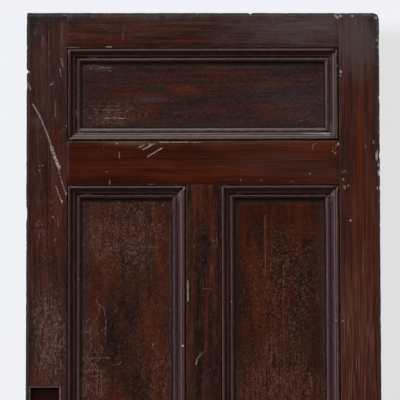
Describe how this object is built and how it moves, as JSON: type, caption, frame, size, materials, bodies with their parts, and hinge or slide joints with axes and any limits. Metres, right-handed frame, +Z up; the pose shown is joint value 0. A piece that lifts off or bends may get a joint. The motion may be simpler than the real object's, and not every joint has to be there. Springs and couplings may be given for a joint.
{
  "type": "panelled front door",
  "caption": "Old varnished wooden front door leaf with flat panels, mitred planted mouldings, wedged tenons, a lock recess and hinge gains.",
  "frame": {"origin": "middle of the leaf's bottom edge, halfway through its thickness", "axes": "+Z up the leaf, +X towards the hinge stile, +Y towards the hall face; the street face looks towards -Y"},
  "size_m": [0.864, 0.0446, 2.083],
  "materials": {
    "frame_wood": "satin",
    "panel_wood": "satin",
    "moulding_wood": "satin",
    "wedge_wood": "matte"
  },
  "bodies": {
    "root": {"back_frieze_moulding_bottom": "moulding_wood", "back_frieze_moulding_hinge_side": "moulding_wood", "back_frieze_moulding_lock_side": "moulding_wood", "back_frieze_moulding_top": "moulding_wood", "back_lower_hinge_moulding_bottom": "moulding_wood", "back_lower_hinge_moulding_hinge_side": "moulding_wood", "back_lower_hinge_moulding_lock_side": "moulding_wood", "back_lower_hinge_moulding_top": "moulding_wood", "back_lower_lock_moulding_bottom": "moulding_wood", "back_lower_lock_moulding_hinge_side": "moulding_wood", "back_lower_lock_moulding_lock_side": "moulding_wood", "back_lower_lock_moulding_top": "moulding_wood", "back_upper_hinge_moulding_bottom": "moulding_wood", "back_upper_hinge_moulding_hinge_side": "moulding_wood", "back_upper_hinge_moulding_lock_side": "moulding_wood", "back_upper_hinge_moulding_top": "moulding_wood", "back_upper_lock_moulding_bottom": "moulding_wood", "back_upper_lock_moulding_hinge_side": "moulding_wood", "back_upper_lock_moulding_lock_side": "moulding_wood", "back_upper_lock_moulding_top": "moulding_wood", "bottom_rail": "frame_wood", "frieze_panel": "panel_wood", "frieze_rail": "frame_wood", "front_frieze_moulding_bottom": "moulding_wood", "front_frieze_moulding_hinge_side": "moulding_wood", "front_frieze_moulding_lock_side": "moulding_wood", "front_frieze_moulding_top": "moulding_wood", "front_lower_hinge_moulding_bottom": "moulding_wood", "front_lower_hinge_moulding_hinge_side": "moulding_wood", "front_lower_hinge_moulding_lock_side": "moulding_wood", "front_lower_hinge_moulding_top": "moulding_wood", "front_lower_lock_moulding_bottom": "moulding_wood", "front_lower_lock_moulding_hinge_side": "moulding_wood", "front_lower_lock_moulding_lock_side": "moulding_wood", "front_lower_lock_moulding_top": "moulding_wood", "front_upper_hinge_moulding_bottom": "moulding_wood", "front_upper_hinge_moulding_hinge_side": "moulding_wood", "front_upper_hinge_moulding_lock_side": "moulding_wood", "front_upper_hinge_moulding_top": "moulding_wood", "front_upper_lock_moulding_bottom": "moulding_wood", "front_upper_lock_moulding_hinge_side": "moulding_wood", "front_upper_lock_moulding_lock_side": "moulding_wood", "front_upper_lock_moulding_top": "moulding_wood", "hinge_stile": "frame_wood", "hinge_stile_wedges": "wedge_wood", "lock_rail": "frame_wood", "lock_stile": "frame_wood", "lock_stile_wedges": "wedge_wood", "lower_hinge_panel": "panel_wood", "lower_lock_panel": "panel_wood", "lower_muntin": "frame_wood", "top_rail": "frame_wood", "upper_hinge_panel": "panel_wood", "upper_lock_panel": "panel_wood", "upper_muntin": "frame_wood"}
  },
  "joints": []
}
